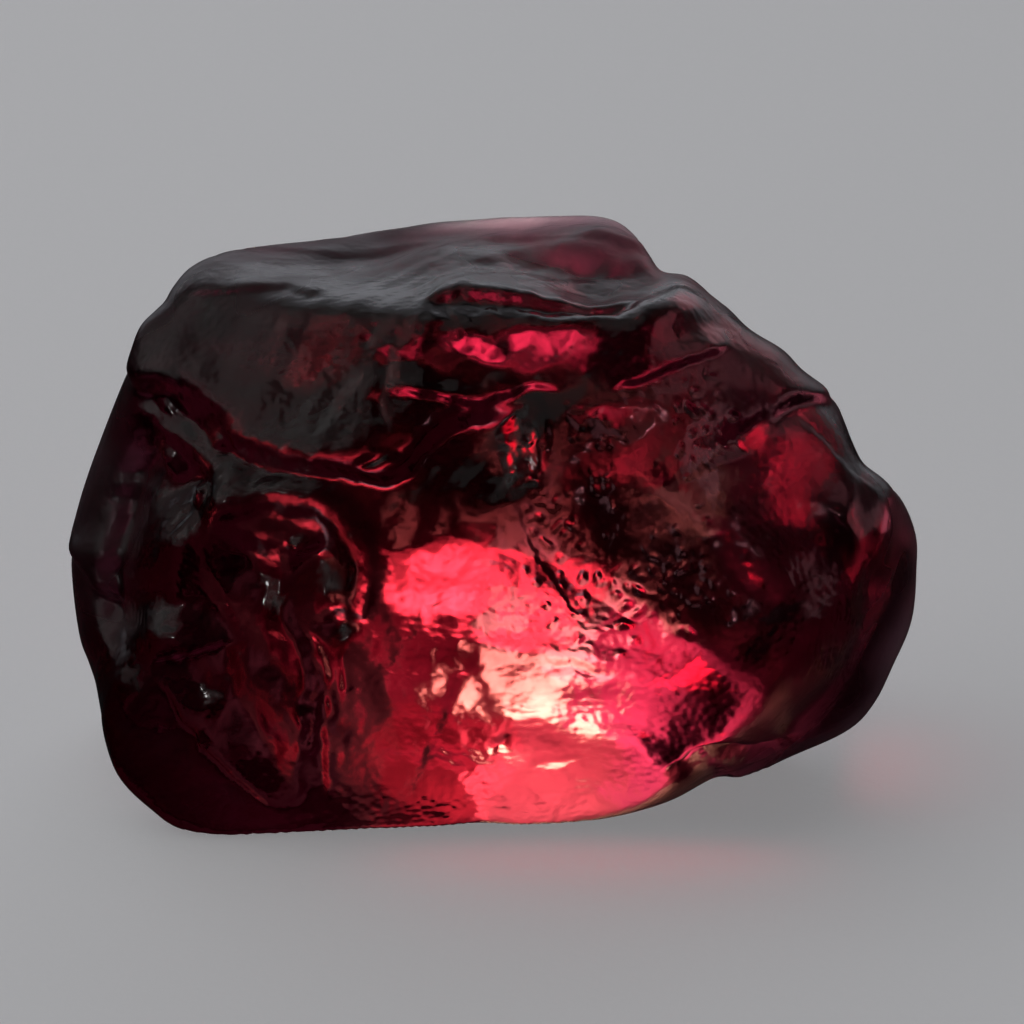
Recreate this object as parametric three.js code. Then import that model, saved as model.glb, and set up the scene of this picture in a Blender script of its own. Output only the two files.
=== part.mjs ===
// A rough ruby, worn smooth: one solid, 20 mm long, resting on its one flat side.
//
// The stone starts as a body bounded by broad worn faces, each a plane at a given
// direction and distance, joined by rounded edges. Hummocks and each side's own ledges,
// ridges and hollows are raised or sunk along the surface's normal. The body is then
// fitted to the stone's outline as seen from in front, and the front relief comes last.
// Every form is laid out flat, as seen square on to its side, in millimetres: the first
// number runs to the right and the second up, from the middle of the stone.
// Azimuth 0 faces the front (-Y) and +90 the right end (+X); elevation 90 is straight up.
import * as THREE from 'three';

// ---- Driving dimensions (mm, degrees) ----
const LENGTH = 20; // end to end, along X
const CENTRE_HEIGHT = 6.3; // the middle of the stone above the flat that it rests on
const FRONT_LEAN = 22; // the front outline is laid out in a plane that leans back this far
const EDGE_SHARPNESS = 30; // how tightly the worn faces meet; higher is crisper
const HUMMOCK_HEIGHT = 0.035; // the worn surface's broad swells
const HUMMOCK_PITCH = 6; // how many radians of swell fit between opposite sides
const MESH_STEPS = 22; // cuts along each edge of the icosahedron that the mesh grows from
const SHARPEST_STEP = 0.2; // half the width of the crispest step that triangles this size can follow

const COLOUR = 0x6e0a18; // deep blood red
const ROUGHNESS = 0.12; // water-worn but still glossy

// ---- Worn faces: azimuth, elevation, distance from the middle ----
const FACES = {
  base: [0, -90, 7.1],
  topSlab: [-150, 83, 6.2],
  topFront: [8, 50, 6.7],
  topRight: [60, 46, 7.7],
  leftShoulder: [-36, 42, 7.1],
  leftEnd: [-92, 8, 9.6],
  leftFront: [-60, 6, 8.3],
  leftLow: [-70, -45, 8.6],
  frontLeft: [-22, -4, 6.0],
  frontWindow: [0, -18, 5.15],
  frontMiddle: [0, 20, 6.4],
  frontRight: [38, 20, 6.25],
  frontRightLow: [62, -26, 7.35],
  rightUpper: [62, 28, 8.3],
  rightEnd: [88, 0, 9.7],
  rightLow: [62, -38, 8.25],
  back: [180, 4, 5.7],
  backRight: [142, 8, 7.4],
  backLeft: [-142, 6, 7.8],
  backTop: [172, 62, 7.2],
  backLow: [178, -52, 9.2],
  backRightLow: [120, -35, 8.3],
  backLeftTop: [-125, 48, 8.0],
  backRightTop: [120, 50, 8.0],
};

// ---- The stone's outline from in front, clockwise from the notch at the upper left ----
const OUTLINE = [
  [-7.65, 5.25], [-7.45, 5.6], [-7.0, 6.1], [-6.05, 6.5], [-3.85, 6.8], [-2.3, 7.05],
  [-1.05, 7.25], [1.1, 7.35], [2.6, 7.35], [3.3, 6.95], [3.65, 6.4], [3.95, 6.0],
  [4.6, 5.9], [5.35, 5.25], [5.95, 4.65], [6.75, 4.15], [7.2, 3.7], [7.75, 3.25],
  [8.1, 2.75], [8.4, 2.0], [8.65, 1.5], [9.1, 1.15], [9.6, 0.65], [9.95, -0.15],
  [10.0, -0.9], [9.9, -2.2], [9.45, -3.3], [9.0, -4.2], [8.35, -4.85], [6.85, -5.55],
  [5.95, -6.0], [5.5, -5.95], [5.15, -6.0], [4.15, -6.45], [3.0, -6.75], [1.9, -6.95],
  [0.8, -7.05], [-0.35, -6.95], [-1.1, -7.1], [-1.85, -7.25], [-3.9, -7.35], [-6.15, -7.3],
  [-7.35, -7.05], [-8.15, -6.5], [-8.75, -5.85], [-9.05, -5.15], [-9.3, -3.95],
  [-9.55, -3.2], [-9.8, -2.55], [-10.0, -1.1], [-10.0, -0.3], [-9.75, 0.75], [-9.2, 2.2],
  [-8.6, 3.65], [-8.25, 4.6], [-7.85, 5.05],
];

// ---- Small helpers ----
const radians = THREE.MathUtils.degToRad;

/** 0 to 1 with a soft start and end. */
function ease(x) {
  return THREE.MathUtils.smoothstep(x, 0, 1);
}

/** Unit vector towards an azimuth and elevation. */
function direction(azimuth, elevation) {
  const [a, e] = [radians(azimuth), radians(elevation)];
  return new THREE.Vector3(Math.sin(a) * Math.cos(e), -Math.cos(a) * Math.cos(e), Math.sin(e));
}

/** One side of the stone seen square on, with its own right, up and outward directions. */
class Side {
  constructor(azimuth, elevation, marks) {
    this.out = direction(azimuth, elevation);
    this.right = new THREE.Vector3(Math.cos(radians(azimuth)), Math.sin(radians(azimuth)), 0);
    this.up = new THREE.Vector3().crossVectors(this.out, this.right);
    this.marks = marks;
  }

  /** Height of all the marks where a point of the stone is seen on this side. */
  relief(point) {
    const u = point.dot(this.right);
    const v = point.dot(this.up);
    return this.marks.reduce((height, mark) => height + mark(u, v), 0);
  }
}

/** Points along a smooth curve through the given ones. */
function smoothLine(points, closed = false) {
  const stations = points.map(([u, v]) => new THREE.Vector3(u, v, 0));
  const curve = new THREE.CatmullRomCurve3(stations, closed, 'catmullrom', 0.5);
  const spans = closed ? points.length : points.length - 1;
  return curve.getPoints(spans * 5);
}

/** Distance to a line (positive on its left), and how far along it the nearest point lies. */
function nearest(line, u, v) {
  let best = { distance: Infinity, side: 1, length: 0 };
  let walked = 0;
  for (let i = 1; i < line.length; i += 1) {
    const [start, end] = [line[i - 1], line[i]];
    const span = start.distanceTo(end);
    const [eu, ev] = [(end.x - start.x) / span, (end.y - start.y) / span];
    const [ru, rv] = [u - start.x, v - start.y];
    const along = THREE.MathUtils.clamp(ru * eu + rv * ev, 0, span);
    const distance = Math.hypot(ru - along * eu, rv - along * ev);
    if (distance < best.distance) {
      best = { distance, side: Math.sign(eu * rv - ev * ru), length: walked + along };
    }
    walked += span;
  }
  return { ...best, share: best.length / walked };
}

/** 1 along most of a line, easing to 0 over the given share of it at each end. */
function endFade(share, fade) {
  return ease(Math.min(share, 1 - share) / fade);
}

// ---- Marks: each gives a height at (u, v) ----
/** A step: the left of the line (its upper side, drawn left to right) is raised, the rest sunk. */
function ledge(points, { high, highReach, low, lowReach, edge, fade = 0.15 }) {
  const line = smoothLine(points);
  const softness = Math.max(edge, SHARPEST_STEP);
  return (u, v) => {
    const { distance, side, share } = nearest(line, u, v);
    const upper = 0.5 * (1 + Math.tanh((side * distance) / softness));
    const lift = upper * high * Math.exp(-distance / highReach);
    const drop = (1 - upper) * low * Math.exp(-distance / lowReach);
    return endFade(share, fade) * (lift - drop);
  };
}

/** A rounded ridge, or a groove if its height is negative; a higher crown is flatter. */
function ridge(points, { height, width, fade = 0.15, crown = 1 }) {
  const line = smoothLine(points);
  return (u, v) => {
    const { distance, share } = nearest(line, u, v);
    return endFade(share, fade) * height * Math.exp(-((distance / width) ** (2 * crown)));
  };
}

/** A lump, or a hollow if its height is negative. */
function lump([u0, v0], { long, wide, height, turn = 0 }) {
  const [c, s] = [Math.cos(radians(turn)), Math.sin(radians(turn))];
  return (u, v) => {
    const a = ((u - u0) * c + (v - v0) * s) / long;
    const b = ((v - v0) * c - (u - u0) * s) / wide;
    return height * Math.exp(-(a * a + b * b));
  };
}

// ---- Front relief ----
const SHOULDER_CREST = [
  [-8.35, 3.5], [-7.7, 3.3], [-7.1, 3.1], [-6.4, 2.55], [-5.8, 1.8], [-4.55, 1.5],
  [-3.5, 1.25], [-2.55, 1.1], [-1.9, 1.45], [-1.5, 2.05], [-1, 2.5], [-0.25, 2.8], [0.85, 3],
];
const WINDOW_BROW = [
  [-3.35, -0.2], [-2.2, -0.15], [-0.55, -0.3], [1.1, -0.7], [2.25, -1.5], [3.4, -2.2],
  [4.6, -2.8],
];
const WINDOW_LEFT = [
  [-2.1, -6.7], [-1.85, -5.95], [-1.4, -5], [-0.9, -3.8], [-0.35, -2.75], [-0.1, -2.1],
];
const RIGHT_CREST = [
  [1.55, 1.75], [2.5, 1.5], [3.55, 1.3], [4.45, 0.45], [5.35, -0.45], [6.3, -1.5],
  [7.15, -2.65],
];
const CURL = [
  [-7, 0.05], [-6.05, 0.55], [-5, 0.65], [-4.25, 0.5], [-3.55, 0.1], [-3.1, -0.5],
  [-2.95, -1.2], [-3.2, -1.75], [-3.9, -1.95],
];
const CHIPPED_EDGE = [
  [-4.8, -6.65], [-4.35, -5.7], [-4.1, -4.75], [-4.15, -3.8], [-4.3, -3], [-4.55, -2.2],
  [-4.75, -1.5],
];

const shoulder = [
  ledge(SHOULDER_CREST,
    { high: 0.18, highReach: 1.2, low: 0.7, lowReach: 1.2, edge: 0.26, fade: 0.1 }),
  ridge(SHOULDER_CREST.slice(6), { height: 0.1, width: 0.15 }),
  ledge([[-2.75, 1.5], [-2.6, 2.2], [-2.75, 2.9], [-2.55, 3.5], [-2.6, 4.15]],
    { high: 0, highReach: 1, low: 0.16, lowReach: 0.9, edge: 0.1 }),
  lump([-0.1, 1.5], { long: 1.1, wide: 0.75, height: -0.4 }),
  lump([-2.75, 1.5], { long: 0.3, wide: 0.12, height: -0.15, turn: 20 }),
  lump([2.5, 2.4], { long: 0.5, wide: 0.3, height: -0.15 }),
  lump([1.1, 2.05], { long: 0.15, wide: 0.6, height: 0.12 }),
];

const window = [
  ridge(WINDOW_BROW, { height: 0.12, width: 0.8, fade: 0.3, crown: 0.5 }),
  ledge(WINDOW_LEFT, { high: 0.05, highReach: 0.9, low: 0.05, lowReach: 1, edge: 0.2, fade: 0.3 }),
  ridge(WINDOW_LEFT, { height: -0.012, width: 0.14, fade: 0.3 }),
  lump([-0.5, -2.15], { long: 0.6, wide: 0.6, height: -0.1, turn: 20 }),
  ridge([[1, -3.25], [1.7, -3.15], [2.4, -3.35], [3, -3.3]],
    { height: 0.035, width: 0.14, fade: 0.3 }),
  ridge([[0, -4.05], [0.7, -4.2], [1.3, -4.15]], { height: 0.035, width: 0.12, fade: 0.3 }),
  ridge([[-0.2, -5.2], [0.1, -5], [0.5, -5.05]], { height: 0.04, width: 0.14, fade: 0.3 }),
  ridge([[0.9, -5.4], [1.5, -5.45], [2.1, -5.3]], { height: 0.03, width: 0.12, fade: 0.3 }),
  ridge([[-3.1, -1.6], [-3.4, -2.8], [-3, -4.2], [-3.5, -5.6]],
    { height: 0.05, width: 0.7, fade: 0.4 }),
];

const rightFlank = [
  ledge(RIGHT_CREST,
    { high: 0.14, highReach: 1.4, low: 0.16, lowReach: 1.2, edge: 0.4, fade: 0.3 }),
  ledge([[3.9, -5.8], [4.8, -5.1], [6, -5.05], [7.15, -4.85]],
    { high: 0.2, highReach: 0.9, low: 0.35, lowReach: 0.6, edge: 0.07, fade: 0.2 }),
  ledge([[8.6, -2.65], [8.65, -0.75], [8.5, 0.65], [8.25, 1.8]],
    { high: 0, highReach: 1, low: 0.22, lowReach: 0.8, edge: 0.3, fade: 0.3 }),
  lump([9.35, -0.2], { long: 0.75, wide: 1.4, height: 0.2 }),
  lump([5.65, 2.05], { long: 0.25, wide: 1.2, height: -0.15, turn: -62 }),
  lump([4.6, 4.5], { long: 0.8, wide: 0.4, height: -0.15, turn: 20 }),
];

const topSteps = [
  ledge([[-7.9, 5.1], [-7, 5.45], [-5.9, 5.5], [-4.55, 5.4], [-3.6, 5.35]],
    { high: 0.07, highReach: 0.8, low: 0.07, lowReach: 0.6, edge: 0.05 }),
  ledge([[-1.75, 5.05], [-0.35, 5.1], [0.9, 5.25], [2.5, 5.5], [3.5, 5.7]],
    { high: 0.18, highReach: 0.9, low: 0.2, lowReach: 0.7, edge: 0.07 }),
  ledge([[2.6, 3.2], [3.4, 3.4], [4.1, 3.65], [4.8, 3.95], [5.6, 4.3]],
    { high: 0.15, highReach: 0.9, low: 0.15, lowReach: 0.7, edge: 0.1, fade: 0.2 }),
  ledge([[-2.6, 3.2], [-1.9, 3.1], [-1.05, 3], [-0.3, 3], [0.4, 3.15], [0.9, 3.35], [1.7, 3.3]],
    { high: 0.12, highReach: 0.5, low: 0.14, lowReach: 0.5, edge: 0.09 }),
  ledge([[-2.5, 3.9], [-1, 4.05], [0.4, 4.15], [2, 4.4], [3.2, 4.8]],
    { high: 0.55, highReach: 1.5, low: 0.75, lowReach: 1.4, edge: 0.85, fade: 0.3 }),
  ridge([[-3.7, 5.35], [-2.2, 5.8], [-0.55, 6.2], [0.85, 6.65], [2.25, 7.05]],
    { height: 0.1, width: 0.38, fade: 0.2, crown: 1.5 }),
  lump([2.2, 5.85], { long: 1.6, wide: 0.85, height: -0.8, turn: 10 }),
];

const leftFlank = [
  ledge([[-8.65, -3.3], [-9.05, -2.3], [-9.15, -1.1], [-9, -0.05], [-8.7, 1.2], [-8.05, 2.5]],
    { high: 0.05, highReach: 0.8, low: 0.5, lowReach: 0.9, edge: 0.14, fade: 0.2 }),
  lump([-7.55, 1.05], { long: 0.75, wide: 0.95, height: -0.65, turn: 10 }),
  lump([-7.25, 0.75], { long: 0.22, wide: 0.3, height: 0.3, turn: 10 }),
  lump([-8, 1.5], { long: 0.15, wide: 0.4, height: 0.22, turn: 20 }),
  ridge([[-8.05, 2.85], [-7.25, 2.95], [-6.55, 2.4], [-6.35, 1.85]], { height: 0.2, width: 0.25 }),
  ledge([[-8.05, -3.15], [-7.45, -4.15], [-6.75, -5.2], [-5.95, -6.05], [-4.8, -6.75]],
    { high: 0.12, highReach: 1, low: 0.3, lowReach: 1.1, edge: 0.12, fade: 0.2 }),
  ledge([[-8.1, -3.2], [-6.9, -2.9], [-5.95, -2.65]],
    { high: 0.15, highReach: 0.6, low: 0.2, lowReach: 0.8, edge: 0.08, fade: 0.2 }),
  lump([-5.45, -5.55], { long: 0.7, wide: 0.9, height: -0.3 }),
  lump([-6.85, -5.05], { long: 0.16, wide: 0.16, height: 0.2 }),
  lump([-8.75, -4.95], { long: 0.14, wide: 0.25, height: 0.15, turn: -60 }),
];

const curlAndChips = [
  ridge(CURL, { height: 0.22, width: 0.36, fade: 0.12, crown: 1.3 }),
  lump([-4.15, -0.9], { long: 0.55, wide: 0.48, height: -0.45 }),
  lump([-4.45, -0.45], { long: 0.25, wide: 0.18, height: 0.3 }),
  lump([-5.7, -0.75], { long: 0.75, wide: 0.5, height: -0.25 }),
  lump([-3.65, -2.3], { long: 0.35, wide: 0.3, height: -0.3 }),
  ledge(CHIPPED_EDGE,
    { high: 0.12, highReach: 0.9, low: 0.12, lowReach: 1, edge: 0.12, fade: 0.12 }),
  ridge([[-3.5, -2.85], [-3.4, -3.85]], { height: 0.06, width: 0.12 }),
];

const FRONT = new Side(0, FRONT_LEAN,
  [...shoulder, ...window, ...rightFlank, ...topSteps, ...leftFlank, ...curlAndChips]);

// ---- The other sides ----
const BACK = new Side(180, 18, [
  ledge([[-8, 2.3], [-5, 3.4], [-2, 3], [1, 3.4], [3.5, 4.2], [6, 3.6]],
    { high: 0.25, highReach: 1, low: 0.35, lowReach: 0.9, edge: 0.14, fade: 0.12 }),
  ledge([[-8.5, -3.2], [-6.5, -2.4], [-4.6, -3.2], [-3.6, -4.6]],
    { high: 0.25, highReach: 1, low: 0.4, lowReach: 1.4, edge: 0.22, fade: 0.3 }),
  ledge([[4.2, -4.8], [5.4, -3.2], [7, -2.6], [8.5, -3]],
    { high: 0.25, highReach: 1, low: 0.4, lowReach: 1.4, edge: 0.22, fade: 0.3 }),
  ledge([[2.2, 4.8], [2.7, 3.2], [2.2, 1.6], [2.8, 0.2]],
    { high: 0.2, highReach: 1.2, low: 0.3, lowReach: 1.4, edge: 0.3, fade: 0.35 }),
  lump([-4.6, 0.4], { long: 1.4, wide: 0.9, height: -0.5, turn: 20 }),
  lump([5.4, 0.6], { long: 1.1, wide: 0.8, height: -0.45, turn: -20 }),
  lump([-0.4, 3.9], { long: 0.9, wide: 0.5, height: 0.35 }),
]);
const LEFT = new Side(-90, 12, [
  ledge([[-4.5, 2.2], [-2, 2.9], [0, 2], [2, 2.4], [3.6, 1.7]],
    { high: 0.08, highReach: 1, low: 0.22, lowReach: 1.2, edge: 0.18, fade: 0.3 }),
  ledge([[-3.5, -3.6], [-1, -2.8], [1, -3.2], [2.4, -2.8]],
    { high: 0.08, highReach: 0.9, low: 0.22, lowReach: 1.1, edge: 0.16, fade: 0.3 }),
  lump([0.8, -0.8], { long: 1.2, wide: 1.6, height: -0.35, turn: 15 }),
]);
const RIGHT = new Side(90, 12, [
  ledge([[-2.2, 1.4], [-1, 2.1], [0.8, 1.5], [3, 1.9]],
    { high: 0.1, highReach: 1, low: 0.3, lowReach: 1.1, edge: 0.16, fade: 0.3 }),
  lump([1.2, -1.2], { long: 1.2, wide: 1, height: -0.4 }),
  lump([-1.6, -0.8], { long: 0.7, wide: 0.9, height: 0.3 }),
]);
const TOP = new Side(0, 90, [
  ledge([[-6, 3], [-3.5, 2.2], [-0.5, 2.9], [2.5, 2.4], [5, 3.2]],
    { high: 0.05, highReach: 0.8, low: 0.06, lowReach: 0.8, edge: 0.2 }),
  lump([-4, 1], { long: 2.2, wide: 1.2, height: -0.1, turn: 10 }),
  lump([0.8, 1.6], { long: 1.6, wide: 0.7, height: 0.08, turn: 20 }),
]);

// ---- The body with the relief of every side but the front ----
const faces = Object.values(FACES).map(([azimuth, elevation, distance]) => ({
  out: direction(azimuth, elevation),
  distance,
}));

/** Distance from the middle to the worn faces along a direction, and the normal there. */
function wornBody(towards) {
  const normal = new THREE.Vector3();
  let sum = 0;
  for (const { out, distance } of faces) {
    const reach = Math.max(towards.dot(out), 0) / distance;
    sum += reach ** EDGE_SHARPNESS;
    normal.addScaledVector(out, reach ** (EDGE_SHARPNESS - 1) / distance);
  }
  return { radius: sum ** (-1 / EDGE_SHARPNESS), normal: normal.normalize() };
}

/** Broad low swells all over, from three crossing waves. */
function hummocks(towards) {
  const { x, y, z } = towards.clone().multiplyScalar(HUMMOCK_PITCH);
  const waves = Math.sin(1.9 * x + 1.1 * y - 0.7 * z)
    + Math.sin(-1.3 * x + 2.1 * y + 1.2 * z + 2)
    + Math.sin(0.8 * x - 1.7 * y + 2.3 * z + 4);
  const ripples = Math.sin(4.3 * x - 3.1 * y + 2.7 * z) * Math.sin(-3.7 * x + 4.4 * y + 3.3 * z + 1);
  return HUMMOCK_HEIGHT * (waves + 0.34 * ripples);
}

function carvedPoint(towards) {
  const { radius, normal } = wornBody(towards);
  const point = towards.clone().multiplyScalar(radius + hummocks(towards));
  for (const side of [BACK, LEFT, RIGHT, TOP]) {
    const facing = ease((normal.dot(side.out) - 0.25) / 0.4);
    if (facing > 0) point.addScaledVector(normal, facing * side.relief(point));
  }
  return { point, normal };
}

// ---- Fitting the body to the outline ----
const SECTORS = 720;
const turnOf = (u, v) => (Math.atan2(v, u) + 2 * Math.PI) % (2 * Math.PI);
const sectorOf = (turn) => (turn / (2 * Math.PI)) * SECTORS - 0.5;

/** Value of a table of sectors at any turn, blended between neighbours. */
function atTurn(table, turn) {
  const place = sectorOf(turn) + SECTORS;
  const low = Math.floor(place);
  const share = place - low;
  return table[low % SECTORS] * (1 - share) + table[(low + 1) % SECTORS] * share;
}

/** The table with each sector averaged with those up to `reach` sectors away. */
function softened(table, reach) {
  return table.map((_, i) => {
    let [sum, weights] = [0, 0];
    for (let k = -reach; k <= reach; k += 1) {
      const weight = Math.exp(-((k / (reach * 0.5)) ** 2));
      sum += weight * table[(i + k + SECTORS) % SECTORS];
      weights += weight;
    }
    return sum / weights;
  });
}

/** Furthest reach of the carved body in each sector of the front plane. */
function bodyReach() {
  const reach = new Array(SECTORS).fill(0);
  for (let i = 0; i < SECTORS; i += 1) {
    const turn = ((i + 0.5) / SECTORS) * 2 * Math.PI;
    for (let lift = -70; lift <= 70; lift += 2) {
      const [c, s] = [Math.cos(radians(lift)), Math.sin(radians(lift))];
      const towards = new THREE.Vector3()
        .addScaledVector(FRONT.right, c * Math.cos(turn))
        .addScaledVector(FRONT.up, c * Math.sin(turn))
        .addScaledVector(FRONT.out, s);
      const { point } = carvedPoint(towards);
      const [u, v] = [point.dot(FRONT.right), point.dot(FRONT.up)];
      const sector = Math.floor(sectorOf(turnOf(u, v)) + 0.5) % SECTORS;
      reach[sector] = Math.max(reach[sector], Math.hypot(u, v));
    }
  }
  return softened(reach, 5);
}

/** Reach of the outline in each sector. */
function outlineReach() {
  const polar = smoothLine(OUTLINE, true)
    .map(({ x, y }) => [turnOf(x, y), Math.hypot(x, y)])
    .sort((a, b) => a[0] - b[0]);
  const first = polar[0];
  const last = polar[polar.length - 1];
  polar.unshift([last[0] - 2 * Math.PI, last[1]]);
  polar.push([first[0] + 2 * Math.PI, first[1]]);
  return Array.from({ length: SECTORS }, (_, i) => {
    const turn = ((i + 0.5) / SECTORS) * 2 * Math.PI;
    const next = polar.findIndex(([t]) => t > turn);
    const [[t0, r0], [t1, r1]] = [polar[next - 1], polar[next]];
    return r0 + ((r1 - r0) * (turn - t0)) / (t1 - t0);
  });
}

const reach = bodyReach();
const stretch = outlineReach().map((r, i) => r / reach[i]);
const broadStretch = softened(stretch, 40);

/** A point stretched across the front plane to fit the outline, more towards its rim. */
function fitted(point) {
  const [u, v] = [point.dot(FRONT.right), point.dot(FRONT.up)];
  const turn = turnOf(u, v);
  const share = Math.min(Math.hypot(u, v) / atTurn(reach, turn), 1);
  const broad = atTurn(broadStretch, turn);
  const scale = (broad - 1) * share ** 4 + (atTurn(stretch, turn) - broad) * share ** 16;
  const moved = point.clone().addScaledVector(FRONT.right, u * scale).addScaledVector(FRONT.up, v * scale);
  return { moved, share };
}

/** The finished surface along a direction from the middle of the stone. */
function stonePoint(towards) {
  const { point, normal } = carvedPoint(towards);
  const { moved, share } = fitted(point);
  const facing = ease((normal.dot(FRONT.out) + 0.05) / 0.35) * ease((1 - share) / 0.1);
  moved.addScaledVector(normal, facing * FRONT.relief(moved));
  if (moved.z < -CENTRE_HEIGHT) { // worn flat where it rests
    moved.multiplyScalar(-CENTRE_HEIGHT / moved.z);
    moved.z = -CENTRE_HEIGHT;
  }
  return moved;
}

// ---- The mesh ----
/** Unit directions and triangles of an icosahedron whose edges are cut into steps. */
function directionsAndTriangles(steps) {
  const shape = new THREE.IcosahedronGeometry(1, steps - 1).getAttribute('position');
  const found = new Map();
  const directions = [];
  const triangles = [];
  for (let i = 0; i < shape.count; i += 1) {
    const corner = new THREE.Vector3().fromBufferAttribute(shape, i);
    const key = corner.toArray().map((x) => x.toFixed(4)).join();
    if (!found.has(key)) {
      found.set(key, directions.length);
      directions.push(corner.normalize());
    }
    triangles.push(found.get(key));
  }
  return { directions, triangles };
}

/** The stone at its real length, centred in X and Y, standing on Z = 0. */
function stoneGeometry() {
  const { directions, triangles } = directionsAndTriangles(MESH_STEPS);
  const geometry = new THREE.BufferGeometry().setFromPoints(directions.map(stonePoint));
  geometry.setIndex(triangles);
  geometry.computeBoundingBox();
  const { min, max } = geometry.boundingBox;
  const scale = LENGTH / (max.x - min.x);
  geometry.translate(-(min.x + max.x) / 2, -(min.y + max.y) / 2, -min.z);
  geometry.scale(scale, scale, scale);
  geometry.computeVertexNormals();
  return geometry;
}

const material = new THREE.MeshStandardMaterial({ color: COLOUR, roughness: ROUGHNESS, metalness: 0 });
const stone = new THREE.Mesh(stoneGeometry(), material);
stone.name = 'ruby_crystal';

const group = new THREE.Group();
group.add(stone);
export default group;
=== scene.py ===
"""A worn piece of ruby rough lit from behind, resting on a pale sheet of paper.

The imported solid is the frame. The fine stone that stands for it is made here from the same
worn faces, outline, ledges, ridges and lumps, with the small marks that the solid leaves out.
Forms are given in millimetres as seen square on to their side: the first number of a point
runs to the right and the second up, from the middle of the stone. Azimuth 0 faces the front
(-Y), +90 the right end (+X), and elevation 90 is straight up.
"""

import logging
import math
from dataclasses import dataclass, field
from enum import Enum
from functools import cached_property
from typing import Any, Protocol

import bpy
import numpy as np
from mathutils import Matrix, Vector


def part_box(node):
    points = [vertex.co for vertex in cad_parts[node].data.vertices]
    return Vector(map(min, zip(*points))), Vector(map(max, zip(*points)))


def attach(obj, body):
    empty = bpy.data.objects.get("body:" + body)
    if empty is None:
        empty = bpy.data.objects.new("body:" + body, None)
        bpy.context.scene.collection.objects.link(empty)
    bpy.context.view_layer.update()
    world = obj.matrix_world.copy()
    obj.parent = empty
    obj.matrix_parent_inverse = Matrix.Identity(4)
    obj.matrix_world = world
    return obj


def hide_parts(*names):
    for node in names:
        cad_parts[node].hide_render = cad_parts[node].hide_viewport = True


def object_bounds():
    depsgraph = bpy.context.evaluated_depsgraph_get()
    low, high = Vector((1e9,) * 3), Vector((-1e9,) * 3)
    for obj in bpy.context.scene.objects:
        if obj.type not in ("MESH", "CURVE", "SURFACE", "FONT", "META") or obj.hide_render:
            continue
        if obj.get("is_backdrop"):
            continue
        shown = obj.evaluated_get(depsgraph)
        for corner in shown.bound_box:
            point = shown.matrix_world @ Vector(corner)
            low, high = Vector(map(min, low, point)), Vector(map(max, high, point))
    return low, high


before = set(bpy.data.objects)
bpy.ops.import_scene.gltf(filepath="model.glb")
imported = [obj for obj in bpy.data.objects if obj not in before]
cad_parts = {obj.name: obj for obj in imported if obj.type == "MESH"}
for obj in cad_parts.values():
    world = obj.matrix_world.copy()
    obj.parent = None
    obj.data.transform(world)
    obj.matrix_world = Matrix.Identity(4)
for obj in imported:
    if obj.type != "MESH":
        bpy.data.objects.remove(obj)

Array = np.ndarray
Point = tuple[float, float]
Place = tuple[float, float, float]
log = logging.getLogger("ruby")

MM = 0.001  # metres in a millimetre
NODE = "ruby_crystal"
SHADOW_DEPTH = 0.85  # the picture's gamma: below 1 its dark parts are deeper


# ---- Small helpers -------------------------------------------------------------------------
def linear(code: str) -> tuple[float, float, float, float]:
    """Turn an sRGB hex colour into linear values.

    Args:
        code: Six hex digits, such as "e0115f".

    Returns:
        Linear red, green, blue, and an alpha of 1.
    """
    parts = [int(code[i : i + 2], 16) / 255 for i in (0, 2, 4)]
    red, green, blue = (
        c / 12.92 if c <= 0.04045 else ((c + 0.055) / 1.055) ** 2.4 for c in parts
    )
    return red, green, blue, 1.0


def add_node(
    tree: bpy.types.NodeTree, kind: str, inputs: dict[Any, Any] | None = None, **settings: Any
) -> bpy.types.Node:
    """Add a shader node with its settings and links.

    Args:
        tree: The node tree that it goes in.
        kind: The node's type name.
        inputs: Input name or number to a value, or to the socket that feeds it.
        **settings: Properties of the node.

    Returns:
        The new node.
    """
    node = tree.nodes.new(kind)
    for name, value in settings.items():
        setattr(node, name, value)
    for name, value in (inputs or {}).items():
        if isinstance(value, bpy.types.NodeSocket):
            tree.links.new(value, node.inputs[name])
        else:
            node.inputs[name].default_value = value
    return node


def ease(x: Array) -> Array:
    """Return 0 to 1 with a soft start and end."""
    x = np.clip(x, 0.0, 1.0)
    return x * x * (3 - 2 * x)


def direction(azimuth: float, elevation: float) -> Array:
    """Return the unit vector towards an azimuth and elevation in degrees."""
    a, e = math.radians(azimuth), math.radians(elevation)
    return np.array([math.sin(a) * math.cos(e), -math.cos(a) * math.cos(e), math.sin(e)])


def smooth_line(points: Array, closed: bool = False, cuts: int = 5) -> Array:
    """Return points along a smooth curve through the given ones.

    Args:
        points: The stations, one a row.
        closed: Whether the curve comes back to its start.
        cuts: Pieces that each span is cut into.

    Returns:
        The curve's points, one a row.
    """
    if closed:
        p = np.vstack([points[-1:], points, points[:2]])
    else:
        p = np.vstack([2 * points[0] - points[1], points, 2 * points[-1] - points[-2]])
    t = np.arange(cuts)[:, None] / cuts
    spans = [
        0.5 * (2 * b + (c - a) * t + (2 * a - 5 * b + 4 * c - d) * t**2 + (3 * b - a - 3 * c + d) * t**3)
        for a, b, c, d in zip(p[:-3], p[1:-2], p[2:-1], p[3:])
    ]
    return np.vstack(spans if closed else spans + [points[-1:]])


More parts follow.
